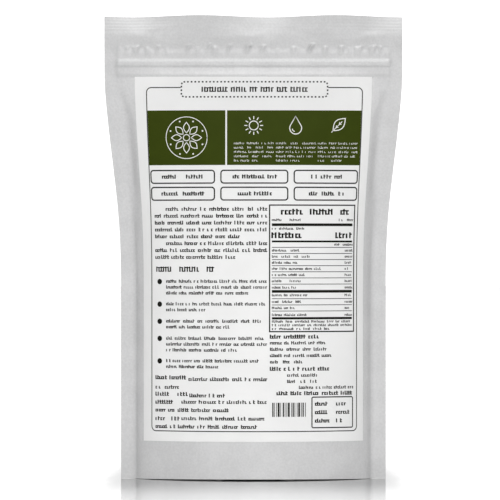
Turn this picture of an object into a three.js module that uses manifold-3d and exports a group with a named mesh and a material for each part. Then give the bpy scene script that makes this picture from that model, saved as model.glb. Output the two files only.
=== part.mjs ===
// A filled stand-up pouch of laminated film, standing on its opened bottom gusset.
// Two flat walls of film are welded down both sides and along the top, a folded gusset closes the
// bottom, a press-to-close zip runs across under the top weld, and a paper label is stuck to one wall.
// Inside lies a heap of dried long pepper spikes, which holds the pouch open.
// Millimetres, +Z up, origin on the ground under the middle. The label side faces -Y.

import * as THREE from "three";
import { mergeVertices } from "three/addons/utils/BufferGeometryUtils.js";
import Module from "manifold-3d";

// Driving dimensions of the film
const FLAT_WIDTH = 160; // wall width when the pouch lies flat
const HEIGHT = 248; // standing height
const SIDE_SEAL = 6; // welded band down each side
const RIM_SEAL = 4; // welded band along the bottom rim, at the middle of a wall
const FILM = 0.6; // thickness of each film
const GAP = 0.3; // clearance left between pieces that lie face to face

// How the filling opens the pouch
const FULL_ANGLE = 1.07; // steepest turn of a wall's section where the pouch is full, in radians
const MIDDLE_ARC = 50; // half width of the flatter arc in the middle of a wall
const MIDDLE_SHARE = 0.47; // that arc's share of the turn
const FLAT_ABOVE = 217; // height where the walls begin to part
const FULL_BELOW = 132; // height where they reach their full depth
const SHOULDER = 0.3; // roundness of the shoulder between the two
const ROUNDING = { flat: 0.12, full: 0.3 }; // softening of both ends of the shoulder
const SEAL_FILLET = 3; // bend radius where a wall leaves the side weld

// Press-to-close zip
const ZIP_HEIGHT = 222.7; // centre line of the zip
const ZIP_TAPE = 11.6; // width of the tape that carries each profile
const ZIP_LENGTH = 144;
const TAPE_LIFT = 0.65; // how far the tape lifts a wall
const RIDGE_LIFT = { label: 0.9, plain: 0.5 }; // how far the closed profile lifts each wall further
const RIDGE_HALF = 2.2; // half width of the raised ridge
const RIDGE_SLOPE = 0.9; // width of the ridge's flanks
const TAPE_SLOPE = 1.2; // width over which a wall comes down off the tape
const TAPE_END = { from: 0.5, to: 0.4 }; // and past the zip's ends, to within the side weld

// Waves of the loose film above the zip
const WAVE_DEPTH = 3.6; // at the top edge
const WAVE_LENGTH = 72.4;
const WAVE_CREST = -28.6; // place of one crest along the top edge
const WAVE_FROM = ZIP_HEIGHT + ZIP_TAPE / 2;

// Paper label
const LABEL = { width: 127.4, bottom: 20.5, top: 215.5, thickness: 0.3 };

// Heap of dried spikes
const HEAP = { top: 152, crown: 12, reach: 66, clearance: 1, coreInset: 4.5 };
const SPIKE = { length: 36, radius: 3.6, sides: 5, count: 40, seed: 7 };
const STREWN = { every: 4, sunk: 5, spread: 0.8, tilt: 0.4 }; // every fourth spike, over the heap's top
const LEANING = { aboveFold: 8, belowTop: 10 }; // the other spikes, flat against the walls
const SPIKE_MARGIN = 6; // how far all of them keep from the heap's ends

const HALF = FLAT_WIDTH / 2;
const SEAL_EDGE = HALF - SIDE_SEAL;
const EAR_SPREAD = FILM + GAP + 0.2; // room for the gusset film between the welded corners
const EARS = { full: 35, none: 42, from: 45, to: 70 }; // heights and columns where that room fades out
const FLOOR_SAG = 6; // how far the load presses the floor down, before it meets the ground
const FOLD_ROUND = 3; // radius of the fold from gusset leg to floor
const FLOOR_MIN = 0.15; // half width of floor left between the folds at the corners

const { max, min, abs, sin, cos, sqrt, PI } = Math;
const { smoothstep, lerp } = THREE.MathUtils;

const wasm = await Module();
wasm.setup();

// Lower of two values, with the corner between them rounded over a given reach.
function softMin(a, b, reach) {
  const near = max(reach - abs(a - b), 0) / reach;
  return min(a, b) - (near ** 3 * reach) / 6;
}

// Share of the full opening angle at a height: 0 where the walls lie flat together, 1 where they are full.
function fullness(z) {
  const drop = -softMin((z - FLAT_ABOVE) / (FLAT_ABOVE - FULL_BELOW), 0, ROUNDING.flat);
  const rise = (drop * sqrt(1 + SHOULDER)) / sqrt(drop + SHOULDER);
  return softMin(rise, 1, ROUNDING.full);
}

// Goes a distance along a chain of arcs, and straight on past its end.
function walk(arcs, distance) {
  let [x, fall, slope, left] = [0, 0, 0, distance];
  for (const { length, turn } of arcs) {
    const radius = length / turn;
    const run = min(left, length);
    const next = slope + run / radius;
    x += radius * (sin(next) - sin(slope));
    fall += radius * (cos(slope) - cos(next));
    slope = next;
    left -= run;
  }
  return { x: x + left, fall, slope };
}

// Half cross-section of a wall at a height: where film at distance s from the middle comes to lie.
// The film runs as a flat arc, a tighter one and a fillet back into the side weld, at its full length.
function section(s, z) {
  const angle = max(FULL_ANGLE * fullness(z), 1e-3);
  const fillet = SEAL_FILLET * angle;
  const arcs = [
    { length: MIDDLE_ARC, turn: MIDDLE_SHARE * angle },
    { length: SEAL_EDGE - fillet - MIDDLE_ARC, turn: (1 - MIDDLE_SHARE) * angle },
    { length: fillet, turn: -angle },
  ];
  const here = walk(arcs, abs(s));
  const depth = walk(arcs, HALF).fall;
  return { x: Math.sign(s) * here.x, out: depth - here.fall, slope: Math.sign(s) * here.slope };
}

// How far the zip lifts a wall, fading out at both ends of the zip.
function zipLift(s, z, ridge) {
  const ends = 1 - smoothstep(abs(s), ZIP_LENGTH / 2 + TAPE_END.from, SEAL_EDGE + TAPE_END.to);
  const off = abs(z - ZIP_HEIGHT);
  const tape = 1 - smoothstep(off, ZIP_TAPE / 2, ZIP_TAPE / 2 + TAPE_SLOPE);
  const bead = 1 - smoothstep(off, RIDGE_HALF - RIDGE_SLOPE, RIDGE_HALF);
  return ends * (TAPE_LIFT * tape + ridge * bead);
}

// Wave of both films above the zip, with its crests towards the label side.
function wave(s, z) {
  const rise = max(z - WAVE_FROM, 0) / (HEIGHT - WAVE_FROM);
  return WAVE_DEPTH * rise ** 2 * cos((2 * PI * (s - WAVE_CREST)) / WAVE_LENGTH);
}

// Point of a wall: s across the film, z up, and h outward from the middle of the film.
// The label wall has side -1 and the plain wall side 1.
function wallPoint(side, s, z, h) {
  const { x, out, slope } = section(s, z);
  const corner = (1 - smoothstep(z, EARS.full, EARS.none)) * smoothstep(abs(s), EARS.from, EARS.to);
  const ridge = side < 0 ? RIDGE_LIFT.label : RIDGE_LIFT.plain;
  const lift = (GAP + FILM) / 2 + EAR_SPREAD * corner + zipLift(s, z, ridge);
  const y = side * (out + lift + h * cos(slope)) - wave(s, z);
  return new THREE.Vector3(x + h * sin(slope), y, z);
}

// Closed geometry of a lattice of nx by ny by nz cells, with every lattice point moved by place(i, j, k).
// A place that mirrors the lattice turns it inside out, so its faces are turned back.
function lattice(nx, ny, nz, place, isMirrored = false) {
  const geometry = new THREE.BoxGeometry(nx, ny, nz, nx, ny, nz);
  geometry.deleteAttribute("normal");
  geometry.deleteAttribute("uv");
  const points = geometry.attributes.position;
  for (let n = 0; n < points.count; n += 1) {
    const i = Math.round(points.getX(n) + nx / 2);
    const j = Math.round(points.getY(n) + ny / 2);
    const k = Math.round(points.getZ(n) + nz / 2);
    points.setXYZ(n, ...place(i, j, k).toArray());
  }
  const corners = geometry.index;
  for (let n = 0; isMirrored && n < corners.count; n += 3) {
    const [a, b] = [corners.getX(n), corners.getX(n + 1)];
    corners.setX(n, b);
    corners.setX(n + 1, a);
  }
  return mergeVertices(geometry, 1e-4);
}

// Film bent along a wall, from one distance to another from the middle of the wall's own film.
// Faces that lie against each other get the same triangles: both walls start at their insides, and
// a film stuck on the outside ends at the wall.
function bentFilm(side, columns, rows, from, to) {
  const place = (i, j, k) => wallPoint(side, columns[i], rows[j], k ? to : from);
  return lattice(columns.length - 1, rows.length - 1, 1, place, side > 0 !== to < from);
}

const mirrored = (half) => [...half.slice(1).reverse().map((s) => -s), ...half];

// Columns across the film: even steps on the middle arc, closer ones on the tighter arc and the fillet.
const EDGE_COLUMNS = [55, 60, 65, 70, 72.4, SEAL_EDGE + TAPE_END.to, HALF];
const COLUMNS = mirrored([0, 10, 20, 30, 40, MIDDLE_ARC, ...EDGE_COLUMNS]);

// Rows up the film: the rim and the corner ears, the full body and the shoulder, the zip and the loose top.
const FOOT_ROWS = [0, RIM_SEAL, 18, EARS.full, lerp(EARS.full, EARS.none, 0.5), EARS.none];
const BODY_ROWS = [62, 86, 110, 125, 138, 150, 161, 171, 180, 188, 195, 201, 206, 210.5, 214.2];
const TAPE_STEPS = [ZIP_TAPE / 2, ZIP_TAPE / 2 + TAPE_SLOPE + 0.1];
const ZIP_STEPS = mirrored([0, RIDGE_HALF - RIDGE_SLOPE, RIDGE_HALF, ...TAPE_STEPS]);
const TOP_ROWS = [234, 241, HEIGHT];
const ROWS = [...FOOT_ROWS, ...BODY_ROWS, ...ZIP_STEPS.map((step) => ZIP_HEIGHT + step), ...TOP_ROWS];

function wall(side) {
  return bentFilm(side, COLUMNS, ROWS, -FILM / 2, FILM / 2);
}

function label() {
  const edge = LABEL.width / 2;
  const columns = [-edge, ...COLUMNS.filter((s) => abs(s) < edge), edge];
  const within = ROWS.filter((z) => z > LABEL.bottom && z < LABEL.top);
  const rows = [LABEL.bottom, ...within, LABEL.top];
  const inner = FILM / 2 + GAP;
  return bentFilm(-1, columns, rows, inner + LABEL.thickness, inner);
}

// Half width between the gusset's two legs, which lie against the walls, and the height of their fold.
// The gusset film keeps its length: the more the walls part, the lower the fold.
const LEG_OFFSET = -(FILM + GAP);
const legAt = (s) => wallPoint(1, s, RIM_SEAL, LEG_OFFSET);
const foldHeight = (s) => RIM_SEAL + legAt(0).y - legAt(s).y;

// Height of the gusset's floor between the folds, pressed onto the ground in the middle.
function floorHeight(s, share) {
  const sag = FLOOR_SAG * (1 - share ** 2) * max(1 - abs(s) / SEAL_EDGE, 0);
  return max(foldHeight(s) - sag, FILM / 2);
}

// Middle of the gusset film, by the distance across it: -1 and 1 are the bottom edges of its legs.
// The legs stand on both outer stretches, then the fold turns into the floor.
const LEG_SHARE = 0.3;
const FOLD_SHARE = 0.25;
function gussetPoint(s, across) {
  const leg = legAt(s);
  const fold = foldHeight(s);
  const round = min(FOLD_ROUND, leg.y - FLOOR_MIN, fold / 2);
  const out = 1 - abs(across);
  let y = leg.y;
  let z;
  if (out <= LEG_SHARE) {
    z = lerp(0, fold - round, out / LEG_SHARE);
  } else if (out <= LEG_SHARE + FOLD_SHARE) {
    const bend = ((out - LEG_SHARE) / FOLD_SHARE) * (PI / 2);
    y = leg.y - round * (1 - cos(bend));
    z = fold - round * (1 - sin(bend));
  } else {
    const share = (1 - out) / (1 - LEG_SHARE - FOLD_SHARE);
    y = (leg.y - round) * share;
    z = floorHeight(s, share);
  }
  return new THREE.Vector3(leg.x, (across < 0 ? -1 : 1) * y, z);
}

// The gusset: its middle film thickened to both sides, with what presses on the ground made flat.
function gusset() {
  const floorStops = [0, 0.15, 0.3];
  const foldStops = [0.45, 0.54, 0.62];
  const legStops = [0.7, 0.84, 1];
  const acrosses = mirrored([...floorStops, ...foldStops, ...legStops]);
  const step = 1e-3;
  return lattice(COLUMNS.length - 1, acrosses.length - 1, 1, (i, j, k) => {
    const s = COLUMNS[i];
    const across = acrosses[j];
    const middle = gussetPoint(s, across);
    const ahead = gussetPoint(s, min(across + step, 1));
    const behind = gussetPoint(s, max(across - step, -1));
    const normal = new THREE.Vector3(0, behind.z - ahead.z, ahead.y - behind.y).normalize();
    const point = middle.addScaledVector(normal, k ? FILM / 2 : -FILM / 2);
    if (abs(across) === 1 || point.z < FILM / 4) point.z = 0;
    return point;
  });
}

// Room inside the pouch for the heap, inset from walls and gusset.
function heapRoom(inset) {
  const reach = HEAP.reach - inset;
  const [nx, ny, nz] = [12, 4, 8];
  return lattice(nx, ny, nz, (i, j, k) => {
    const s = lerp(-reach, reach, i / nx);
    const across = lerp(-1, 1, j / ny);
    const bottom = floorHeight(s, across) + FILM + HEAP.clearance + inset;
    const top = HEAP.top - HEAP.crown * (s / reach) ** 2 - inset;
    const z = lerp(bottom, top, k / nz);
    const side = wallPoint(1, s, z, -(FILM / 2 + HEAP.clearance + FILM + GAP + inset));
    return new THREE.Vector3(side.x, side.y * across, z);
  });
}

// A repeatable stream of numbers from 0 to 1.
function randomStream(seed) {
  let state = seed;
  return () => {
    state = (Math.imul(state, 1664525) + 1013904223) >>> 0;
    return state / 2 ** 32;
  };
}

// One dried spike: a slim round body with a stalk end and a blunt tip, along +Y.
function spike() {
  const profile = [
    [0, -0.5],
    [0.62, -0.46],
    [1, -0.2],
    [0.86, 0.24],
    [0.46, 0.47],
    [0, 0.5],
  ].map(([r, y]) => new THREE.Vector2(r * SPIKE.radius, y * SPIKE.length));
  return new THREE.LatheGeometry(profile, SPIKE.sides);
}

function solidOf(geometry) {
  const bare = geometry.index ? geometry.clone() : mergeVertices(geometry);
  bare.deleteAttribute("normal");
  bare.deleteAttribute("uv");
  const merged = mergeVertices(bare, 1e-4);
  return new wasm.Manifold(
    new wasm.Mesh({
      numProp: 3,
      vertProperties: merged.attributes.position.array,
      triVerts: new Uint32Array(merged.index.array),
    }),
  );
}

function geometryOf(solid) {
  const mesh = solid.getMesh();
  return new THREE.BufferGeometry()
    .setAttribute("position", new THREE.BufferAttribute(mesh.vertProperties, 3))
    .setIndex(new THREE.BufferAttribute(mesh.triVerts, 1));
}

// Distance from the middle to where a spike's axis lies when it is half sunk into the core's side.
const coreSide = (s, z) => wallPoint(1, s, z, 0).y - HEAP.coreInset - SPIKE.radius / 2;

function spikeAt(turn, s, y, z) {
  const place = new THREE.Matrix4().makeRotationFromEuler(turn).setPosition(section(s, z).x, y, z);
  return spike().applyMatrix4(place);
}

// A spike strewn over the top of the heap, turned any way and little tilted.
function strewnSpike(s, random) {
  const z = HEAP.top - HEAP.crown * (s / HEAP.reach) ** 2 - STREWN.sunk;
  const y = coreSide(s, z) * lerp(-STREWN.spread, STREWN.spread, random());
  const tilt = lerp(-STREWN.tilt, STREWN.tilt, random());
  const turn = new THREE.Euler(tilt, lerp(-PI, PI, random()), lerp(0, PI, random()));
  return spikeAt(turn, s, y, z);
}

// A spike that lies flat against the inside of either wall, turned any way.
function leaningSpike(s, random) {
  const z = lerp(foldHeight(s) + LEANING.aboveFold, HEAP.top - LEANING.belowTop, random());
  const side = random() < 0.5 ? -1 : 1;
  const lean = PI / 2 - side * section(s, z).slope;
  const turn = new THREE.Euler(0, lerp(-PI, PI, random()), lean, "ZYX");
  return spikeAt(turn, s, side * coreSide(s, z), z);
}

// The heap: spikes over the surface of a smaller core, kept inside the room for them.
function heap() {
  const random = randomStream(SPIKE.seed);
  const reach = HEAP.reach - SPIKE_MARGIN;
  let pile = solidOf(heapRoom(HEAP.coreInset));
  for (let n = 0; n < SPIKE.count; n += 1) {
    const s = lerp(-reach, reach, random());
    const next = n % STREWN.every === 0 ? strewnSpike(s, random) : leaningSpike(s, random);
    pile = pile.add(solidOf(next));
  }
  const bodies = pile.intersect(solidOf(heapRoom(0))).decompose();
  return geometryOf(bodies.sort((a, b) => b.volume() - a.volume())[0]);
}

// One zip strip: a section of width (up the pouch) and depth (towards +Y), run along the zip.
function zipStrip(outline) {
  const shape = new THREE.Shape(outline.map(([up, deep]) => new THREE.Vector2(up, deep)));
  const strip = new THREE.ExtrudeGeometry(shape, { depth: ZIP_LENGTH, bevelEnabled: false });
  const frame = new THREE.Matrix4().makeBasis(
    new THREE.Vector3(0, 0, 1),
    new THREE.Vector3(0, 1, 0),
    new THREE.Vector3(-1, 0, 0),
  );
  return strip.applyMatrix4(frame).translate(ZIP_LENGTH / 2, 0, ZIP_HEIGHT);
}

const TAPE = { near: 0.2, far: 0.5, half: ZIP_TAPE / 2 }; // each tape's two faces and half width
const mirrorUp = (half) => [...half, ...half.slice().reverse().map(([up, deep]) => [-up, deep])];

// Grooved strip, on the label wall: a hooked channel that opens towards the other strip.
function zipGroove() {
  const arm = { inner: 0.75, outer: 1.15, tip: -0.05 };
  const hook = { inner: 0.4, back: -0.25 };
  const back = { inside: -1, outside: -1.4 };
  return zipStrip(
    mirrorUp([
      [arm.inner, back.inside],
      [arm.inner, hook.back],
      [hook.inner, hook.back],
      [hook.inner, arm.tip],
      [arm.outer, arm.tip],
      [arm.outer, -TAPE.near],
      [TAPE.half, -TAPE.near],
      [TAPE.half, -TAPE.far],
      [arm.outer, -TAPE.far],
      [arm.outer, back.outside],
    ].reverse()),
  );
}

// Ribbed strip, on the plain wall: an arrow head that snaps into the channel.
function zipRib() {
  const stem = 0.18;
  const head = { half: 0.5, back: -0.45, tip: -0.8 };
  return zipStrip(
    mirrorUp([
      [TAPE.half, TAPE.far],
      [TAPE.half, TAPE.near],
      [stem, TAPE.near],
      [stem, head.back],
      [head.half, head.back],
      [stem / 2, head.tip],
    ]),
  );
}

const film = { color: 0xd4d4d4, roughness: 0.5, metalness: 0.4 };
const pieces = [
  ["label_side_wall", wall(-1), film],
  ["plain_side_wall", wall(1), film],
  ["bottom_gusset", gusset(), film],
  ["zip_groove_strip", zipGroove(), { color: 0xe8e8e6, roughness: 0.4, metalness: 0 }],
  ["zip_rib_strip", zipRib(), { color: 0xe8e8e6, roughness: 0.4, metalness: 0 }],
  ["information_label", label(), { color: 0xf0f0ee, roughness: 0.6, metalness: 0 }],
  ["long_pepper_filling", heap(), { color: 0x5b4636, roughness: 0.9, metalness: 0 }],
];

const pouch = new THREE.Group();
pouch.name = "stand_up_pouch";
for (const [name, geometry, look] of pieces) {
  const mesh = new THREE.Mesh(geometry, new THREE.MeshStandardMaterial(look));
  mesh.name = name;
  mesh.geometry.computeVertexNormals();
  pouch.add(mesh);
}

export default pouch;
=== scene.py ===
"""Looks of a filled stand-up pouch: its film, zip, paper label with plain print, and dried filling.

Lengths are in metres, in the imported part's own frame, unless a name or comment says millimetres.
The labelled wall faces -Y.
"""

import logging
import math
import random
from dataclasses import asdict, dataclass
from enum import Enum
from typing import Callable, Mapping, NamedTuple, Optional, Sequence, Union

import bpy
import numpy as np
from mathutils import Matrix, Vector


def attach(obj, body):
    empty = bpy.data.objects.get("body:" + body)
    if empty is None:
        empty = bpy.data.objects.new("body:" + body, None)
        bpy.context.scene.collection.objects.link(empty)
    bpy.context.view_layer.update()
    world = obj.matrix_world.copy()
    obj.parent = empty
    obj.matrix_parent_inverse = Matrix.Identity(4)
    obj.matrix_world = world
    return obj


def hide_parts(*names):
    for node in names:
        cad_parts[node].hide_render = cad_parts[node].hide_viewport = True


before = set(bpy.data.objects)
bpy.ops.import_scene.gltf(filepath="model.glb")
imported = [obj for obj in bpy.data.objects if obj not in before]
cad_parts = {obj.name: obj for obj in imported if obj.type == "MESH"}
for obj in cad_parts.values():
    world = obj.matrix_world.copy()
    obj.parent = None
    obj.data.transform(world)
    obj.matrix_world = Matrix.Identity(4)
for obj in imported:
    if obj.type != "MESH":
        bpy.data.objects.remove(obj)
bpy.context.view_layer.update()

MM = 0.001
BODY = "root"
SHARP_ANGLE = math.radians(50)
LOG = logging.getLogger("pouch")

Operand = Union["Value", float]
Point = tuple[float, float]
Triple = tuple[float, float, float]
Colour = Triple


def operator(operation: str, is_reflected: bool = False) -> Callable[["Value", Operand], "Value"]:
    """Makes an operator's method.

    Args:
        operation: The Math node's operation.
        is_reflected: Whether the value stands on the operator's right.

    Returns:
        The method, which adds one Math node.
    """

    def method(self: "Value", other: Operand) -> "Value":
        """Adds the Math node."""
        terms = (other, self) if is_reflected else (self, other)
        return self.tree.math(operation, *terms)

    return method


class Value:
    """A node's output, on which Python's operators add Math nodes."""

    def __init__(self, tree: "Tree", socket: bpy.types.NodeSocket) -> None:
        """Keeps the output and the tree that it is in."""
        self.tree = tree
        self.socket = socket

    __add__, __radd__ = operator("ADD"), operator("ADD", True)
    __sub__, __rsub__ = operator("SUBTRACT"), operator("SUBTRACT", True)
    __mul__, __rmul__ = operator("MULTIPLY"), operator("MULTIPLY", True)
    __truediv__, __rtruediv__ = operator("DIVIDE"), operator("DIVIDE", True)

    def __neg__(self) -> "Value":
        """The value with its sign changed."""
        return self * -1.0

    def out(self, name: str) -> "Value":
        """Another output of the same node."""
        return Value(self.tree, self.socket.node.outputs[name])


class Tree:
    """A node tree that is being built."""

    def __init__(self, data: bpy.types.NodeTree) -> None:
        """Keeps the tree's data."""
        self.data = data

    def feed(self, socket: bpy.types.NodeSocket, value: object) -> None:
        """Links a value to an input, or sets a plain number, colour or vector on it.

        Args:
            socket: The input.
            value: What it takes.
        """
        if isinstance(value, Value):
            self.data.links.new(value.socket, socket)
        else:
            socket.default_value = value

    def node(
        self,
        kind: str,
        settings: Optional[Mapping[str, object]] = None,
        inputs: Optional[Mapping[Union[int, str], object]] = None,
        output: Union[int, str] = 0,
    ) -> Value:
        """Adds a node.

        Args:
            kind: The node's type.
            settings: Its properties, which are set first.
            inputs: Values or links of its sockets, by name or place.
            output: The output to return, by name or place.

        Returns:
            That output.
        """
        made = self.data.nodes.new(kind)
        for name, value in (settings or {}).items():
            setattr(made, name, value)
        for key, value in (inputs or {}).items():
            self.feed(made.inputs[key], value)
        return Value(self, made.outputs[output])

    def math(self, operation: str, *terms: Operand) -> Value:
        """Adds a Math node."""
        return self.node("ShaderNodeMath", {"operation": operation}, dict(enumerate(terms)))


def smooth_min(a: float, b: float, reach: float) -> float:
    """Lower of two numbers, with the corner between them rounded as a Math node rounds it."""
    near = max(reach - abs(a - b), 0.0) / reach
    return min(a, b) - near**3 * reach / 6


PLAIN_MATHS: dict[str, Callable[..., float]] = {
    "ABSOLUTE": abs,
    "COSINE": math.cos,
    "MAXIMUM": max,
    "MINIMUM": min,
    "SIGN": lambda number: float(np.sign(number)),
    "SINE": math.sin,
    "SMOOTH_MIN": smooth_min,
    "SQRT": math.sqrt,
}


def calc(operation: str, *terms: Operand) -> Operand:
    """Works a sum out where its terms are numbers, and adds a Math node where one is a node's value.

    Args:
        operation: The Math node's operation.
        terms: Its terms.

    Returns:
        The number, or the node's value.
    """
    for term in terms:
        if isinstance(term, Value):
            return term.tree.math(operation, *terms)
    return PLAIN_MATHS[operation](*terms)


def ramp(value: Operand, start: Operand, end: Operand) -> Operand:
    """A smooth step from 0 at start to 1 at end."""
    share = calc("MINIMUM", calc("MAXIMUM", (value - start) / (end - start), 0.0), 1.0)
    return share * share * (3.0 - 2.0 * share)


def fall(value: Operand, start: Operand, end: Operand) -> Operand:
    """A smooth step from 1 at start to 0 at end."""
    return 1.0 - ramp(value, start, end)


class Side(Enum):
    """The pouch's two walls, by the direction along Y in which they face."""

    LABEL = -1.0
    PLAIN = 1.0


@dataclass(frozen=True)
class PouchForm:
    """Sizes of the standing pouch, which the film, the label and the print all follow."""

    flat_width: float = 160 * MM
    height: float = 248 * MM
    side_seal: float = 6 * MM
    top_seal: float = 7.5 * MM
    rim_seal: float = 4 * MM
    film: float = 0.24 * MM
    gap: float = 0.03 * MM

    full_angle: float = 1.07
    middle_arc: float = 50 * MM
    middle_share: float = 0.47
    seal_fillet: float = 3 * MM
    flat_above: float = 217 * MM
    full_below: float = 132 * MM
    shoulder: float = 0.3
    flat_rounding: float = 0.12
    full_rounding: float = 0.3

    zip_height: float = 222.7 * MM
    zip_tape: float = 11.6 * MM
    zip_length: float = 144 * MM
    tape_lift: float = 0.65 * MM
    tape_ramp: float = 2.0 * MM
    tape_rise: float = 2.8 * MM
    ridge_low: float = 2.1 * MM
    ridge_ramp: float = 1.1 * MM
    ridge_high: float = 2.45 * MM
    ridge_slant: float = 1.5 * MM

    flap_lean: float = 1.4 * MM
    wave_depth: float = 2.2 * MM
    wave_height: float = 0.5 * MM
    wave_length: float = 72.4 * MM
    wave_crest: float = -28.6 * MM

    ear_spread: float = 0.31 * MM
    ear_top: float = 34.5 * MM
    ear_full: float = 32.5 * MM
    rim_lift: float = 0.55 * MM
    rim_reach: float = 66 * MM

    rib_pitch: float = 1.75 * MM
    rib_depth: float = 0.05 * MM
    pucker_pitch: float = 8.5 * MM
    pucker_half: float = 2.0 * MM
    pucker_depth: float = 1.5 * MM
    pucker_level: float = 230.3 * MM
    pucker_stray: float = 4.0 * MM
    body_slack: float = 0.5 * MM
    flap_slack: float = 0.85 * MM

    def bent(
        self, side: Side, ridge: float, underside: float, thickness: float, seed: float
    ) -> dict[str, float]:
        """Sizes for a piece that is laid along a wall: the pouch's own and the piece's."""
        piece = (side.value, ridge, underside, thickness, seed)
        return {**asdict(self), **dict(zip(BentTree.piece_sizes, piece))}


class Section(NamedTuple):
    """A point of a wall's cross-section: across, outward, and the film's slope there."""

    x: Operand
    out: Operand
    slope: Operand


class WallRule:
    """Where flat film comes to lie on the standing pouch, for numbers and for nodes alike."""

    least_angle = 0.003  # keeps the arcs' radii finite where the film lies flat
    past_zip = 0.5 * MM  # the film comes down from here past the zip's end
    past_seal = 0.4 * MM  # to here past the weld's edge
    tape_fall = 0.9 * MM  # how far below the tape's top edge it starts to come down
    ears_across = (45 * MM, 70 * MM)
    rim_height = 12 * MM
    corner_rise = (126 * MM, 178 * MM)  # heights between which the flat corners set in
    corner_fall = (202 * MM, 212 * MM)  # between which they end
    corner_taper = (190 * MM, 210 * MM)  # and between which they narrow
    crease_place = (1.5 * MM, 2.0 * MM)  # their crease from the weld: its least, and what their width adds
    crease_width = (3.0 * MM, 3.5 * MM)
    lean_span = (227.5 * MM, 239 * MM)

    def __init__(self, size: Callable[[str], Operand]) -> None:
        """Keeps what gives a size by its field's name."""
        self.size = size

    def fullness(self, up: Operand) -> Operand:
        """Share of the full opening at a height.

        Args:
            up: Distance up the film from its bottom edge.

        Returns:
            0 where the walls lie together, 1 where they are full.
        """
        flat, shoulder = self.size("flat_above"), self.size("shoulder")
        level = (up - flat) / (flat - self.size("full_below"))
        drop = -calc("SMOOTH_MIN", level, 0.0, self.size("flat_rounding"))
        rise = drop * calc("SQRT", (1.0 + shoulder) / (drop + shoulder))
        return calc("SMOOTH_MIN", rise, 1.0, self.size("full_rounding"))

    @staticmethod
    def walk(arcs: Sequence[tuple[Operand, Operand]], distance: Operand) -> tuple[Operand, ...]:
        """Goes along a chain of arcs, and straight on past its end.

        Args:
            arcs: Each arc's length and the angle that it turns.
            distance: How far to go.

        Returns:
            The distance across, the drop and the slope there.
        """
        x, drop, slope, left = 0.0, 0.0, 0.0, distance
        for length, turn in arcs:
            radius = length / turn
            run = calc("MINIMUM", left, length)
            bend = slope + run / radius
            x = x + radius * (calc("SINE", bend) - calc("SINE", slope))
            drop = drop + radius * (calc("COSINE", slope) - calc("COSINE", bend))
            slope, left = bend, left - run
        return x + left, drop, slope

    def seal_edge(self) -> Operand:
        """Distance from the wall's middle to the inner edge of its side weld."""
        return self.size("flat_width") / 2.0 - self.size("side_seal")

    def section(self, across: Operand, up: Operand) -> Section:
        """Cross-section of a wall.

        Args:
            across: Distance across the film from its middle.
            up: Distance up the film from its bottom edge.

        Returns:
            The point of the section.
        """
        angle = calc("MAXIMUM", self.size("full_angle") * self.fullness(up), self.least_angle)
        middle, share = self.size("middle_arc"), self.size("middle_share")
        fillet = self.size("seal_fillet") * angle
        arcs = (
            (middle, share * angle),
            (self.seal_edge() - fillet - middle, (1.0 - share) * angle),
            (fillet, -angle),
        )
        x, drop, slope = self.walk(arcs, calc("ABSOLUTE", across))
        _, depth, _ = self.walk(arcs, self.size("flat_width") / 2.0)
        sign = calc("SIGN", across)
        return Section(sign * x, depth - drop, sign * slope)

    def zip_lift(self, across: Operand, up: Operand) -> Operand:
        """How far the zip behind it lifts the film.

        Args:
            across: Distance across the film from its middle.
            up: Distance up the film from its bottom edge.

        Returns:
            The lift.
        """
        half, tape = self.size("zip_length") / 2.0, self.size("zip_tape") / 2.0
        ends = fall(calc("ABSOLUTE", across), half + self.past_zip, self.seal_edge() + self.past_seal)
        above = up - self.size("zip_height")
        low, high = self.size("ridge_low"), self.size("ridge_high")
        flat = ramp(above, -tape - self.size("tape_ramp"), -tape)
        flat = flat * fall(above, tape - self.tape_fall, tape + self.size("tape_rise"))
        bead = ramp(above, -low, self.size("ridge_ramp") - low)
        bead = bead * fall(above, high - self.size("ridge_slant"), high)
        return ends * (self.size("tape_lift") * flat + self.size("ridge_lift") * bead)

    def ears(self, across: Operand, up: Operand) -> Operand:
        """Room that the gusset film takes between the welded lower corners.

        Args:
            across: Distance across the film from its middle.
            up: Distance up the film from its bottom edge.

        Returns:
            The room, on each side.
        """
        low = fall(up, self.size("ear_full"), self.size("ear_top"))
        near = ramp(calc("ABSOLUTE", across), *self.ears_across)
        return self.size("ear_spread") * low * near

    def crest(self, across: Operand, up: Operand) -> Operand:
        """Wave of the loose film above the zip.

        Args:
            across: Distance across the film from its middle.
            up: Distance up the film from its bottom edge.

        Returns:
            The wave, from -1 to 1 at the top edge.
        """
        start = self.size("zip_height") + self.size("zip_tape") / 2.0
        rise = calc("MAXIMUM", (up - start) / (self.size("height") - start), 0.0)
        turn = 2 * math.pi * (across - self.size("wave_crest")) / self.size("wave_length")
        return rise * rise * calc("COSINE", turn)

    def press(self, across: Operand, up: Operand) -> Operand:
        """Share by which the empty corners below the zip's ends lie flat.

        Args:
            across: Distance across the film from its middle.
            up: Distance up the film from its bottom edge.

        Returns:
            The share, from 0 to 1.
        """
        inside = self.seal_edge() - calc("ABSOLUTE", across)
        tall = ramp(up, *self.corner_rise) * fall(up, *self.corner_fall)
        wide = fall(up, *self.corner_taper)
        start = self.crease_place[0] + self.crease_place[1] * wide
        end = start + self.crease_width[0] + self.crease_width[1] * wide
        return tall * fall(inside, start, end)

    def lean(self, up: Operand) -> Operand:
        """How far the loose film above the zip leans towards the label's side."""
        return self.size("flap_lean") * ramp(up, *self.lean_span)

    def rim(self, across: Operand, up: Operand) -> Operand:
        """How far the middle of the bottom rim stands off the ground.

        Args:
            across: Distance across the film from its middle.
            up: Distance up the film from its bottom edge.

        Returns:
            The height.
        """
        share = across / self.size("rim_reach")
        middle = calc("MAXIMUM", 1.0 - share * share, 0.0)
        low = calc("MAXIMUM", 1.0 - up / self.rim_height, 0.0)
        return self.size("rim_lift") * middle * low * low

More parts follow.
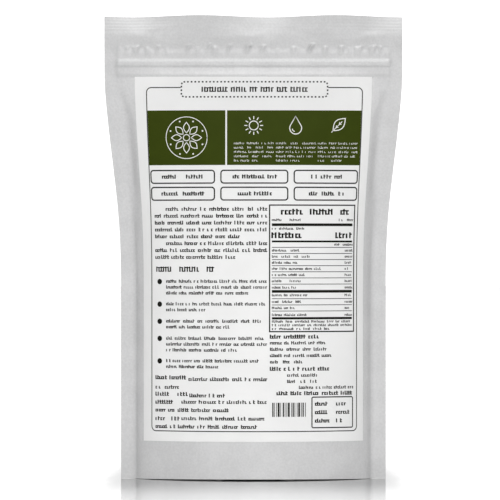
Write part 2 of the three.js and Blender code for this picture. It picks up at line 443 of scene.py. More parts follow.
    def place(
        self, side: Operand, across: Operand, up: Operand, off: Operand, relief: Operand = 0.0
    ) -> tuple[Operand, Operand, Operand]:
        """Place of a point of the flat film.

        Args:
            side: The wall's direction along Y.
            across: Distance across the film from its middle.
            up: Distance up the film from its bottom edge.
            off: Distance outward from the middle of the film's thickness.
            relief: How far the film is raised there.

        Returns:
            The point's coordinates.
        """
        x, out, slope = self.section(across, up)
        out = out * (1.0 - self.press(across, up))
        lift = (self.size("gap") + self.size("film")) / 2.0 + relief
        lift = lift + self.ears(across, up) + self.zip_lift(across, up)
        crest = self.crest(across, up)
        y = side * (out + lift + off * calc("COSINE", slope))
        y = y - self.size("wave_depth") * crest - self.lean(up)
        z = up + self.size("wave_height") * crest + self.rim(across, up)
        return x + off * calc("SINE", slope), y, z


class FilmRelief:
    """Low forms of the film that textures place: weld ribs, puckers and slack."""

    rib_fade = 0.5 * MM  # over which the ribs end at the weld's lower edge
    rib_ends = (30 * MM, 58 * MM)  # distances from the middle between which they grow clearer
    rib_least = 0.4  # their share at the middle

    pucker_spot = (0.3, 0.4)  # a pucker's least place in its cell, and what chance adds
    pucker_rise = (-4.5 * MM, 0.4 * MM)
    pucker_fall = (0.4 * MM, 1.8 * MM)
    pucker_ends = (70 * MM, 74 * MM)
    pucker_odds = (0.05, 0.85)  # chances that make no pucker, and a full one
    small_size, small_height, small_salt = 0.64, 0.7, 17.0  # the row of smaller puckers

    body_forms = (46 * MM, 46 * MM)  # width and height of the slack's forms on the full body
    body_ends = (58 * MM, 73 * MM)
    body_rise = (6 * MM, 40 * MM)
    body_fall = (186 * MM, 212 * MM)
    flap_forms = (26 * MM, 10 * MM)  # and on the loose film above the zip
    flap_contrast = (0.38, 0.7)
    flap_ends = (62 * MM, 74 * MM)
    flap_start, flap_full = 3 * MM, 9 * MM  # heights above the zip
    flap_fall = (234 * MM, 246.5 * MM)

    def __init__(self, tree: "GeometryTree", rule: WallRule, across: Value, up: Value) -> None:
        """Keeps the tree, the rule's sizes and the film's own coordinates.

        Args:
            tree: The tree that textures are added to.
            rule: The walls' rule.
            across: Distance across the film from its middle.
            up: Distance up the film from its bottom edge.
        """
        self.tree = tree
        self.size = rule.size
        self.across = across
        self.up = up
        self.aside = calc("ABSOLUTE", across)

    def ribs(self) -> Value:
        """Fine ribs that the sealing bar leaves along the top weld, clearest at its ends.

        Returns:
            Their height.
        """
        down = self.size("height") - self.up
        seal = self.size("top_seal")
        inside = fall(down, seal - self.rib_fade, seal)
        rib = 0.5 + 0.5 * calc("COSINE", 2 * math.pi * down / self.size("rib_pitch"))
        clear = self.rib_least + (1.0 - self.rib_least) * ramp(self.aside, *self.rib_ends)
        return self.size("rib_depth") * inside * rib * clear

    def pucker_row(self, share: float, salt: float) -> Value:
        """One row of short upright puckers, unevenly spaced.

        Args:
            share: Their size and spacing, as a share of the full ones.
            salt: What sets this row's chances apart from another's.

        Returns:
            Their height, from 0 to 1.
        """
        pitch = share * self.size("pucker_pitch")
        cell = calc("FLOOR", self.across / pitch)
        chance = self.tree.node(
            "ShaderNodeTexWhiteNoise", {"noise_dimensions": "1D"}, {"W": cell + self.size("seed") + salt}
        )
        above = self.up - self.size("pucker_level") - (chance - 0.5) * self.size("pucker_stray")
        least, added = self.pucker_spot
        middle = (cell + least + added * chance) * pitch + (chance - 0.5) * above
        near = (self.across - middle) / (share * self.size("pucker_half"))
        form = calc("MAXIMUM", 1.0 - near * near, 0.0)
        tall = ramp(above, *self.pucker_rise) * fall(above, *self.pucker_fall)
        return form * form * tall * ramp(chance, *self.pucker_odds)

    def puckers(self) -> Value:
        """Puckers above the zip, gentle on their lower sides and steep on their upper ones.

        Returns:
            Their height.
        """
        small = self.small_height * self.pucker_row(self.small_size, self.small_salt)
        both = self.pucker_row(1.0, 0.0) + small
        return self.size("pucker_depth") * fall(self.aside, *self.pucker_ends) * both

    def noise(self, wide: float, tall: float) -> Value:
        """Noise on the flat film.

        Args:
            wide: About the width of its forms.
            tall: About their height.

        Returns:
            The noise, from 0 to 1.
        """
        spot = {"X": self.across / wide, "Y": self.up / tall, "Z": self.size("seed")}
        flat = self.tree.node("ShaderNodeCombineXYZ", None, spot)
        return self.tree.node("ShaderNodeTexNoise", None, {"Vector": flat, "Scale": 1.0, "Detail": 1.0})

    def slack(self) -> Value:
        """Uneven stretch of the full body, and the looser film between the zip and the top weld.

        Returns:
            How far it raises the film.
        """
        body = fall(self.aside, *self.body_ends)
        body = body * ramp(self.up, *self.body_rise) * fall(self.up, *self.body_fall)
        zip_top = self.size("zip_height") + self.size("zip_tape") / 2.0
        flap = ramp(self.up, zip_top + self.flap_start, zip_top + self.flap_full)
        flap = flap * fall(self.up, *self.flap_fall) * fall(self.aside, *self.flap_ends)
        wide = self.noise(*self.body_forms)
        close = ramp(self.noise(*self.flap_forms), *self.flap_contrast)
        return self.size("body_slack") * body * wide + self.size("flap_slack") * flap * close

    def total(self) -> Value:
        """All of the relief together."""
        return self.ribs() + self.puckers() + self.slack()


class GeometryTree(Tree):
    """A Geometry Nodes tree with named inputs for its sizes, which ends in one finish."""

    def __init__(self, name: str, sizes: Sequence[str]) -> None:
        """Starts the tree with its inputs and outputs.

        Args:
            name: The tree's name.
            sizes: The names of its sizes.
        """
        super().__init__(bpy.data.node_groups.new(name, "GeometryNodeTree"))
        face = self.data.interface
        face.new_socket("Geometry", in_out="OUTPUT", socket_type="NodeSocketGeometry")
        face.new_socket("Geometry", in_out="INPUT", socket_type="NodeSocketGeometry")
        face.new_socket("Finish", in_out="INPUT", socket_type="NodeSocketMaterial")
        for size in sizes:
            face.new_socket(size, in_out="INPUT", socket_type="NodeSocketFloat")
        self.entry = self.data.nodes.new("NodeGroupInput")
        self.exit = self.data.nodes.new("NodeGroupOutput")

    def size(self, name: str) -> Value:
        """One of the tree's inputs."""
        return Value(self, self.entry.outputs[name])

    def join(self, *parts: Value) -> Value:
        """Joins geometries.

        Args:
            parts: The geometries.

        Returns:
            One geometry with all of them.
        """
        joint = self.node("GeometryNodeJoinGeometry")
        for part in parts:
            self.feed(joint.socket.node.inputs["Geometry"], part)
        return joint

    def close(self, geometry: Value) -> None:
        """Ends the tree: instances made real, with the finish on them.

        Args:
            geometry: What the tree has made.
        """
        real = self.node("GeometryNodeRealizeInstances", None, {"Geometry": geometry})
        dressed = self.node(
            "GeometryNodeSetMaterial", None, {"Geometry": real, "Material": self.size("Finish")}
        )
        self.feed(self.exit.inputs["Geometry"], dressed)

    def make(
        self, name: str, source: bpy.types.Mesh, finish: bpy.types.Material, sizes: Mapping[str, float]
    ) -> bpy.types.Object:
        """Runs the tree on a mesh.

        Args:
            name: The new piece's name.
            source: What the tree starts from. It is used up.
            finish: The piece's material.
            sizes: The values of all the tree's other inputs.

        Returns:
            The piece, as a plain mesh.
        """
        draft = new_object(f"{name}.draft", source)
        modifier = draft.modifiers.new("form", "NODES")
        modifier.node_group = self.data
        values = {**sizes, "Finish": finish}
        for item in self.data.interface.items_tree:
            if item.in_out == "INPUT" and item.name in values:
                modifier[item.identifier] = values[item.name]
        piece = plain_copy(draft, name)
        bpy.data.objects.remove(draft)
        bpy.data.meshes.remove(source)
        return piece


def new_object(name: str, data: bpy.types.ID) -> bpy.types.Object:
    """Adds an object to the scene.

    Args:
        name: Its name.
        data: Its mesh, light or camera.

    Returns:
        The object.
    """
    made = bpy.data.objects.new(name, data)
    bpy.context.scene.collection.objects.link(made)
    return made


def plain_copy(draft: bpy.types.Object, name: str) -> bpy.types.Object:
    """Turns an object with modifiers into a plain mesh object.

    Args:
        draft: The object, which stays as it is.
        name: The new object's name.

    Returns:
        The new object, smooth apart from its sharp edges.
    """
    graph = bpy.context.evaluated_depsgraph_get()
    mesh = bpy.data.meshes.new_from_object(draft.evaluated_get(graph), depsgraph=graph)
    mesh.name = name
    mesh.shade_smooth()
    mesh.set_sharp_from_angle(angle=SHARP_ANGLE)
    return new_object(name, mesh)


class BentTree(GeometryTree):
    """Gives flat faces a thickness and lays them along a wall of the pouch."""

    piece_sizes = ("side", "ridge_lift", "underside", "thickness", "seed")
    weld = 1e-6  # distance at which a slab's two halves are joined

    def __init__(self, name: str, extra_sizes: Sequence[str] = ()) -> None:
        """Starts the tree with the pouch's sizes, the piece's own and any extra ones."""
        super().__init__(name, [*asdict(PouchForm()), *self.piece_sizes, *extra_sizes])

    def thicken(self, flat: Value) -> Value:
        """Makes flat faces closed slabs.

        Args:
            flat: The faces.

        Returns:
            The slabs.
        """
        top = self.node(
            "GeometryNodeExtrudeMesh",
            {"mode": "FACES"},
            {"Mesh": flat, "Offset Scale": self.size("thickness"), "Individual": False},
        )
        bottom = self.node("GeometryNodeFlipFaces", None, {"Mesh": flat})
        return self.node(
            "GeometryNodeMergeByDistance", None, {"Geometry": self.join(top, bottom), "Distance": self.weld}
        )

    def bend(self, slabs: Value) -> Value:
        """Lays slabs along the wall.

        Args:
            slabs: The slabs on the flat film.

        Returns:
            The slabs on the wall.
        """
        flat = self.node("ShaderNodeSeparateXYZ", None, {0: self.node("GeometryNodeInputPosition")})
        side = self.size("side")
        across, up = -(side * flat), flat.out("Y")
        rule = WallRule(self.size)
        relief = FilmRelief(self, rule, across, up).total()
        x, y, z = rule.place(side, across, up, flat.out("Z") + self.size("underside"), relief)
        place = self.node("ShaderNodeCombineXYZ", None, {"X": x, "Y": y, "Z": z})
        return self.node("GeometryNodeSetPosition", None, {"Geometry": slabs, "Position": place})


class SheetTree(BentTree):
    """The tree for films, the label and the print's flat shapes."""

    def __init__(self) -> None:
        """Builds the tree."""
        super().__init__("bent_sheet")
        self.close(self.bend(self.thicken(self.size("Geometry"))))


class StrokeTree(BentTree):
    """The tree that sets short strokes along lines, as text seen from afar or as dashes."""

    stroke_sizes = ("pitch", "stroke", "low", "tall", "tall_share", "bar", "bar_share")
    tall_salt, foot_salt, head_salt = 2, 3, 4  # what sets the chances of tall strokes and of both bars apart
    boolean_output = 3  # place of the Random Value node's output for true or false
    bar_room = 1.04  # strokes' width that a bar leaves free

    def __init__(self) -> None:
        """Builds the tree."""
        super().__init__("printed_strokes", self.stroke_sizes)
        lines = self.node("GeometryNodeMeshToCurve", None, {"Mesh": self.size("Geometry")})
        self.spots = self.node(
            "GeometryNodeCurveToPoints", {"mode": "LENGTH"}, {"Curve": lines, "Length": self.size("pitch")}
        )
        self.turn = self.node(
            "FunctionNodeAlignRotationToVector",
            {"axis": "X", "pivot_axis": "Z"},
            {"Vector": self.spots.out("Tangent")},
        )
        low, bar = self.size("low"), self.size("bar")
        height = low + (self.size("tall") - low) * self.chance(self.size("tall_share"), self.tall_salt)
        stems = self.strokes(self.spots, self.size("stroke"), height)
        feet, heads = self.bars(0.0, self.foot_salt), self.bars(low - bar, self.head_salt)
        strokes = self.join(stems, feet, heads)
        real = self.node("GeometryNodeRealizeInstances", None, {"Geometry": strokes})
        self.close(self.bend(self.thicken(real)))

    def chance(self, share: Operand, salt: int) -> Value:
        """Draws some of the points, with the piece's seed.

        Args:
            share: The share of points to draw.
            salt: What sets this draw apart from others.

        Returns:
            True for the points drawn.
        """
        return self.node(
            "FunctionNodeRandomValue",
            {"data_type": "BOOLEAN"},
            {"Probability": share, "Seed": self.size("seed") + float(salt)},
            self.boolean_output,
        )

    def strokes(self, points: Value, width: Operand, height: Operand) -> Value:
        """Sets a stroke on each point, standing on the line.

        Args:
            points: The points.
            width: Its width.
            height: Its height.

        Returns:
            The strokes.
        """
        form = self.node("GeometryNodeMeshGrid", None, {"Vertices X": 2, "Vertices Y": 2})
        form = self.node("GeometryNodeTransform", None, {"Geometry": form, "Translation": (0.0, 0.5, 0.0)})
        scale = self.node("ShaderNodeCombineXYZ", None, {"X": width, "Y": height, "Z": 1.0})
        return self.node(
            "GeometryNodeInstanceOnPoints",
            None,
            {"Points": points, "Instance": form, "Rotation": self.turn, "Scale": scale},
        )

    def bars(self, level: Operand, salt: int) -> Value:
        """Sets level bars from some of the strokes towards the next.

        Args:
            level: Their height above the line.
            salt: What sets their draw apart from others.

        Returns:
            The bars.
        """
        kept = self.node(
            "GeometryNodeDeleteGeometry",
            {"domain": "POINT"},
            {"Geometry": self.spots, "Selection": self.chance(1.0 - self.size("bar_share"), salt)},
        )
        shift = self.node("ShaderNodeCombineXYZ", None, {"X": self.size("pitch") / 2.0, "Y": level})
        moved = self.node("GeometryNodeSetPosition", None, {"Geometry": kept, "Offset": shift})
        width = self.size("pitch") - self.size("stroke") * self.bar_room
        return self.strokes(moved, width, self.size("bar"))


def lattice_faces(rows: int, width: int, start: int = 0) -> list[tuple[int, ...]]:
    """Faces between neighbouring rows of points, which are numbered on from a start."""
    corners = [start + row * width + n for row in range(rows - 1) for n in range(width - 1)]
    return [(low, low + 1, low + width + 1, low + width) for low in corners]


class Drawing:
    """Flat faces and lines on the label, drawn in millimetres: X across from its middle, Y up."""

    step = 2.5  # longest side of a face, so that print follows the wall

    def __init__(self) -> None:
        """Starts an empty drawing."""
        self.points: list[Point] = []
        self.faces: list[tuple[int, ...]] = []
        self.edges: list[tuple[int, int]] = []

    def lattice(self, rows: Sequence[Sequence[Point]]) -> None:
        """Adds faces between neighbouring rows of points.

        Args:
            rows: The rows, each to the left of the one before.
        """
        self.faces.extend(lattice_faces(len(rows), len(rows[0]), len(self.points)))
        for row in rows:
            self.points.extend(row)

    def grid(self, columns: Sequence[float], rows: Sequence[float]) -> None:
        """Adds a filled box, with faces between its columns and rows."""
        self.lattice([[(x, y) for x in columns] for y in rows])

    @classmethod
    def stops(cls, start: float, end: float) -> np.ndarray:
        """Even stops from start to end, close enough to follow the wall."""
        return np.linspace(start, end, max(2, math.ceil(abs(end - start) / cls.step) + 1))

    def box(self, left: float, right: float, low: float, high: float) -> None:
        """Adds a filled box."""
        self.grid(self.stops(left, right), self.stops(low, high))

    def rule(self, left: float, right: float, middle: float, weight: float) -> None:
        """Adds a level rule."""
        self.box(left, right, middle - weight / 2, middle + weight / 2)

    def fill(self, outline: Sequence[Point]) -> None:
        """Adds a small filled shape, as a fan around its middle.

        Args:
            outline: The shape's points, anticlockwise.
        """
        start, count = len(self.points), len(outline)
        self.points.extend([tuple(np.mean(outline, axis=0)), *outline])
        self.faces.extend((start, start + 1 + n, start + 1 + (n + 1) % count) for n in range(count))

    def ribbon(self, path: Sequence[Point], weight: float) -> None:
        """Adds a line along a path, which closes where it ends at its start.

        Args:
            path: The points of its middle.
            weight: Its weight.
        """
        line = np.array(path, float)
        is_closed = np.allclose(line[0], line[-1])
        along = np.diff(line, axis=0)
        along /= np.linalg.norm(along, axis=1)[:, None]
        normals = np.stack([-along[:, 1], along[:, 0]], axis=1)
        before = np.vstack([normals[-1] if is_closed else normals[0], normals])
        after = np.vstack([normals, normals[0] if is_closed else normals[-1]])
        miter = (before + after) / (1 + np.sum(before * after, axis=1))[:, None]
        self.lattice([[tuple(p) for p in line + miter * side * weight / 2] for side in (-1, 1)])

    def path(self, points: Sequence[Point]) -> None:
        """Adds a path with no faces.

        Args:
            points: Its points.
        """
        start = len(self.points)
        self.points.extend(points)
        self.edges.extend((start + n, start + n + 1) for n in range(len(points) - 1))

    def mesh(self, name: str, shift: float = 0.0) -> bpy.types.Mesh:
        """Makes the drawing a mesh in metres.

        Args:
            name: The mesh's name.
            shift: How far it is moved along X.

        Returns:
            The mesh.
        """
        made = bpy.data.meshes.new(name)
        places = [((x + shift) * MM, y * MM, 0.0) for x, y in self.points]
        made.from_pydata(places, self.edges, self.faces)
        return made


class TextStyle(Enum):
    """Strokes that stand for text: the values of StrokeTree.stroke_sizes in their order, in millimetres."""

    TITLE = (1.7, 0.98, 2.5, 3.1, 0.5, 0.7, 0.6)
    HEADING = (1.4, 0.76, 2.5, 2.75, 0.8, 0.55, 0.55)
    BOLD = (1.2, 0.7, 1.6, 2.1, 0.5, 0.5, 0.6)
    PLAIN = (1.06, 0.6, 1.45, 2.0, 0.28, 0.46, 0.62)
    SMALL = (0.92, 0.52, 1.25, 1.7, 0.28, 0.4, 0.58)
    FINE = (0.78, 0.4, 0.95, 1.3, 0.28, 0.3, 0.5)
    FAINT = (0.84, 0.24, 0.8, 1.15, 0.25, 0.2, 0.35)
    DASH = (1.97, 0.9, 0.8, 0.8, 0.0, 0.1, 0.0)


class Writing(Drawing):
    """Lines that strokes stand on, each broken into words."""

    word_letters = (2, 9)  # fewest and most strokes in a word
    word_space = 2.2  # strokes' room between words
    seed = 5

    def __init__(self, style: TextStyle) -> None:
        """Starts an empty piece of writing in a style.

        Args:
            style: The style.
        """
        super().__init__()
        self.style = dict(zip(StrokeTree.stroke_sizes, style.value))
        self.draw = random.Random(self.seed)

    def sizes(self) -> dict[str, float]:
        """The style's sizes, with lengths in metres."""
        return {name: value if name.endswith("share") else value * MM for name, value in self.style.items()}

    def line(self, left: float, right: float, level: float) -> None:
        """Adds a level line of words that fills the width, as a path with no faces for each word.

        Args:
            left: Where it starts.
            right: Where it ends.
            level: Its height.
        """
        pitch = self.style["pitch"]
        words, room = [], right - left
        while room > 2 * pitch or not words:
            words.append(min(pitch * self.draw.randint(*self.word_letters), room))
            room -= words[-1] + self.word_space * pitch
        gap = (right - left - sum(words)) / max(len(words) - 1, 1)
        place = left
        for length in words:
            self.path([(place, level), (place + length, level)])
            place += length + gap

    def lines(self, *rows: Triple) -> None:
        """Adds lines, each by its level and its left and right ends."""
        for level, left, right in rows:
            self.line(left, right, level)

    def block(self, left: float, rights: Sequence[float], first: float, pitch: float) -> None:
        """Adds lines from the first one down, each as long as its right end says."""
        for n, right in enumerate(rights):
            self.line(left, right, first - n * pitch)


def polar(centre: Point, radius: float, angle: float) -> Point:
    """The point at a distance from a centre, by an angle in degrees."""
    turn = math.radians(angle)
    return centre[0] + radius * math.cos(turn), centre[1] + radius * math.sin(turn)


def arc(centre: Point, radius: float, start: float, end: float, count: int) -> list[Point]:
    """Points along an arc, by angles in degrees."""
    return [polar(centre, radius, angle) for angle in np.linspace(start, end, count)]


def finely(path: Sequence[Point], step: float = Drawing.step) -> list[Point]:
    """Adds points to a path, so that none of its stretches is longer than a step.

    Args:
        path: The path.
        step: The step.

    Returns:
        The finer path.
    """
    fine = [path[0]]
    for (x0, y0), (x1, y1) in zip(path, path[1:]):
        count = max(1, math.ceil(math.hypot(x1 - x0, y1 - y0) / step))
        fine.extend((x0 + (x1 - x0) * n / count, y0 + (y1 - y0) * n / count) for n in range(1, count + 1))
    return fine


def rounded_box(left: float, right: float, low: float, high: float, radius: float) -> list[Point]:
    """Goes round a box with rounded corners.

    Args:
        left: Its left side.
        right: Its right side.
        low: Its bottom.
        high: Its top.
        radius: Its corners' radius.

    Returns:
        A closed path, anticlockwise from the middle of the top.
    """
    middle = ((left + right) / 2, high)
    corners = [(left, high, 90), (left, low, 180), (right, low, 270), (right, high, 360)]
    path = [middle]
    for x, y, start in corners:
        inward = (x + math.copysign(radius, middle[0] - x), y + math.copysign(radius, (low + high) / 2 - y))
        path.extend(arc(inward, radius, start, start + 90, 6))
    return finely([*path, middle])


class Motifs(Drawing):
    """The banner's plain line ornaments, each round a centre."""

    bold, plain, rib, thin, vein = 0.5, 0.45, 0.42, 0.4, 0.36  # weights of lines
    petal_points = 17
    ring_points = 25

    def petal(self, centre: Point, angle: float, near: float, far: float, half: float, weight: float) -> None:
        """Draws a closed petal that points away from a centre, as two arcs that meet in points.

        Args:
            centre: What it points away from.
            angle: Its direction in degrees.
            near: Where it starts.
            far: Where it ends.
            half: Half its width.
            weight: Its line's weight.
        """
        turns = np.linspace(2 * math.pi, 0, self.petal_points)
        reach = near + (far - near) * (1 - abs(1 - turns / math.pi))
        cos, sin = polar((0.0, 0.0), 1.0, angle)
        sides = half * np.sin(turns)
        xs, ys = centre[0] + reach * cos - sides * sin, centre[1] + reach * sin + sides * cos
        self.ribbon(list(zip(xs, ys)), weight)

    def rosette(self, centre: Point) -> None:
        """Draws a plain rosette of petals in a ring.

        Args:
            centre: Its middle.
        """
        for angle in range(0, 360, 45):
            self.petal(centre, angle, near=2.6, far=8.2, half=1.6, weight=self.plain)
            self.fill(arc(polar(centre, 9.4, angle + 22.5), 0.5, 0, 300, 6))
        self.ribbon(arc(centre, 1.7, 0, 360, self.ring_points), self.plain)
        self.ribbon(arc(centre, 11.2, 0, 360, 49), self.thin)

    def sun(self, centre: Point) -> None:
        """Draws a sun: a ring with short rays.

        Args:
            centre: Its middle.
        """
        self.ribbon(arc(centre, 2.4, 0, 360, self.ring_points), self.bold)
        for angle in range(0, 360, 30):
            self.ribbon([polar(centre, radius, angle) for radius in (3.4, 5.0)], self.bold)

    def drop(self, centre: Point) -> None:
        """Draws a water drop with a glint.

        Args:
            centre: Its middle.
        """
        x, y = centre
        tip, middle = (x, y + 5.0), (x, y - 1.4)
        self.ribbon([tip, *arc(middle, 3.2, 155, 385, 17), tip], self.bold)
        self.ribbon(arc(middle, 1.9, 190, 255, 5), self.plain)

    def leaf(self, centre: Point) -> None:
        """Draws a leaf with a midrib and side veins.

        Args:
            centre: Its middle.
        """
        x, y = centre
        foot = (x - 3.6, y - 3.6)
        self.petal(foot, 45, near=1.2, far=10.6, half=2.6, weight=self.bold)
        self.ribbon([foot, (x + 2.2, y + 2.2)], self.rib)
        for along in (-1.1, 0.6):
            for end in ((1.3, 0.2), (0.2, 1.3)):
                vein = [(x + along, y + along), (x + along + end[0], y + along + end[1])]
                self.ribbon(vein, self.vein)


class Shader(Tree):
    """A material's tree, with one Principled surface."""

    first_colour, second_colour, mixed_colour = 6, 7, 2  # places of the Mix node's sockets for colours

    def __init__(self, name: str) -> None:
        """Starts the material.

        Args:
            name: Its name.
        """
        self.material = bpy.data.materials.new(name)
        self.material.use_nodes = True
        super().__init__(self.material.node_tree)
        self.surface = next(n for n in self.data.nodes if n.type == "BSDF_PRINCIPLED")

    def set(self, **inputs: object) -> None:
        """Sets or links inputs of the surface, named with _ for each space."""
        for name, value in inputs.items():
            self.feed(self.surface.inputs[name.replace("_", " ")], value)

    def spot(self) -> Value:
        """Place on the object, in its own coordinates."""
        return self.node("ShaderNodeTexCoord", None, None, "Object")

    def noise(self, size: float, detail: float, stretch: Triple = (1.0, 1.0, 1.0)) -> Value:
        """Noise in the object's own coordinates, from 0 to 1.

        Args:
            size: The size of its forms, in metres.
            detail: The number of finer layers.
            stretch: How many times longer the forms are along X, Y and Z.

        Returns:
            The noise.
        """
        scale = tuple(1 / (size * s) for s in stretch)
        scaled = self.node("ShaderNodeMapping", None, {"Vector": self.spot(), "Scale": scale})
        return self.node("ShaderNodeTexNoise", None, {"Vector": scaled, "Scale": 1.0, "Detail": detail})

    def blend(self, share: Operand, first: Colour, second: Colour) -> Value:
        """Mixes two colours."""
        colours = {self.first_colour: (*first, 1.0), self.second_colour: (*second, 1.0)}
        return self.node("ShaderNodeMix", {"data_type": "RGBA"}, {0: share, **colours}, self.mixed_colour)

    def mix(self, share: Operand, first: Value, second: Value) -> Value:
        """Mixes two surfaces."""
        return self.node("ShaderNodeMixShader", None, {0: share, 1: first, 2: second})

    def bump(self, height: Value, depth: float, strength: float) -> Value:
        """A normal raised by a height from 0 to 1, over a depth in metres."""
        return self.node("ShaderNodeBump", None, {"Height": height, "Distance": depth, "Strength": strength})


@dataclass(frozen=True)
class GrainFinish:
    """A finish whose colour runs between two tones with a fine grain and wide clouds."""

    name: str
    dark: Colour
    light: Colour
    grain: float
    cloud: float
    grain_share: float = 0.5  # the grain's part in the colour
    ends: Point = (0.3, 0.7)  # where the colour is all dark and all light
    stretch: Triple = (1.0, 1.0, 1.0)  # how many times longer the grain is along X, Y and Z
    grain_detail: float = 2.0
    cloud_detail: float = 2.0
    roughness: float = 0.5
    swing: float = 0.1  # how much the roughness changes
    is_cloud_rough: bool = False  # whether it changes with the clouds, and otherwise with the grain
    metal: float = 0.0
    shine: float = 0.5
    depth: float = 0.0  # height of the grain
    strength: float = 0.5

    def material(self) -> bpy.types.Material:
        """Builds the material.

        Returns:
            The material.
        """
        shader = Shader(self.name)
        cloud = shader.noise(self.cloud, self.cloud_detail)
        grain = shader.noise(self.grain, self.grain_detail, self.stretch)
        mottle = ramp((1.0 - self.grain_share) * cloud + self.grain_share * grain, *self.ends)
        rough = cloud if self.is_cloud_rough else grain
        shader.set(
            Base_Color=shader.blend(mottle, self.dark, self.light),
            Roughness=self.roughness + self.swing * (rough - 0.5),
            Metallic=self.metal,
            Specular_IOR_Level=self.shine,
        )
        if self.depth:
            shader.set(Normal=shader.bump(grain, self.depth, self.strength))
        return shader.material


FILM_FINISH = GrainFinish(  # matt silver-grey laminate
    "laminate_film",
    dark=(0.56, 0.56, 0.563),
    light=(0.64, 0.64, 0.642),
    grain=1.1 * MM,
    cloud=14 * MM,
    cloud_detail=3.0,
    is_cloud_rough=True,
    metal=0.46,
    depth=0.08 * MM,
    strength=0.6,
)
PAPER_FINISH = GrainFinish(  # white coated paper with a faint fibre
    "label_paper",
    dark=(0.845, 0.845, 0.84),
    light=(0.88, 0.88, 0.875),
    grain=0.5 * MM,
    cloud=22 * MM,
    grain_share=0.2,
    stretch=(1.0, 1.0, 2.5),
    swing=0.12,
    shine=0.25,
    depth=0.012 * MM,
)


def ink_finish(name: str, tone: Colour, paler: float) -> GrainFinish:
    """Printing ink with the faint unevenness of a press, so many times paler where it is thin."""
    thin = tuple(min(part * paler, 1.0) for part in tone)
    return GrainFinish(name, tone, thin, grain=0.35 * MM, cloud=9 * MM, ends=(0.35, 0.8), shine=0.06)


class Ink(Enum):
    """The print's inks."""

    OLIVE = ink_finish("olive_ink", (0.034, 0.048, 0.0035), 1.2)
    DARK = ink_finish("dark_ink", (0.009, 0.009, 0.007), 1.8)
    WHITE = ink_finish("white_ink", (0.84, 0.84, 0.82), 1.05)


@dataclass(frozen=True)
class ZipFinish:
    """Milky extruded plastic, drawn along its length."""

    light: Colour = (0.82, 0.82, 0.8)
    dark: Colour = (0.74, 0.74, 0.72)
    line: float = 0.4 * MM
    line_detail: float = 2.0
    stretch: Triple = (60.0, 1.0, 1.0)
    roughness: float = 0.34
    swing: float = 0.12
    depth: float = 0.02 * MM
    strength: float = 0.4

    def material(self) -> bpy.types.Material:
        """Builds the material.

        Returns:
            The material.
        """
        shader = Shader("zip_plastic")
        drawn = shader.noise(self.line, self.line_detail, self.stretch)
        shader.set(
            Base_Color=shader.blend(drawn, self.dark, self.light),
            Roughness=self.roughness + self.swing * drawn,
            Normal=shader.bump(drawn, self.depth, self.strength),
        )
        return shader.material


@dataclass(frozen=True)
class SpikeFinish:
    """Dried grey-brown spikes, rough with the tiny fruits that they are made of."""

    pale: Colour = (0.16, 0.115, 0.08)
    dark: Colour = (0.035, 0.022, 0.014)
    fruit: float = 1.3 * MM
    fruit_share: float = 0.6  # the fruits' part in the colour, and the rest is dust
    dust: float = 6 * MM
    dust_detail: float = 4.0
    ends: Point = (0.2, 0.8)
    roughness: float = 0.95
    swing: float = 0.12
    depth: float = 0.5 * MM
    strength: float = 0.9

    def material(self) -> bpy.types.Material:
        """Builds the material.

        Returns:
            The material.
        """
        shader = Shader("dried_spikes")
        fruit = shader.node("ShaderNodeTexVoronoi", None, {"Vector": shader.spot(), "Scale": 1 / self.fruit})
        dust = shader.noise(self.dust, self.dust_detail)
        raised = 1.0 - fruit
        tone = ramp(self.fruit_share * raised + (1.0 - self.fruit_share) * dust, *self.ends)
        shader.set(
            Base_Color=shader.blend(tone, self.dark, self.pale),
            Roughness=self.roughness - self.swing * raised,
            Normal=shader.bump(raised, self.depth, self.strength),
        )
        return shader.material


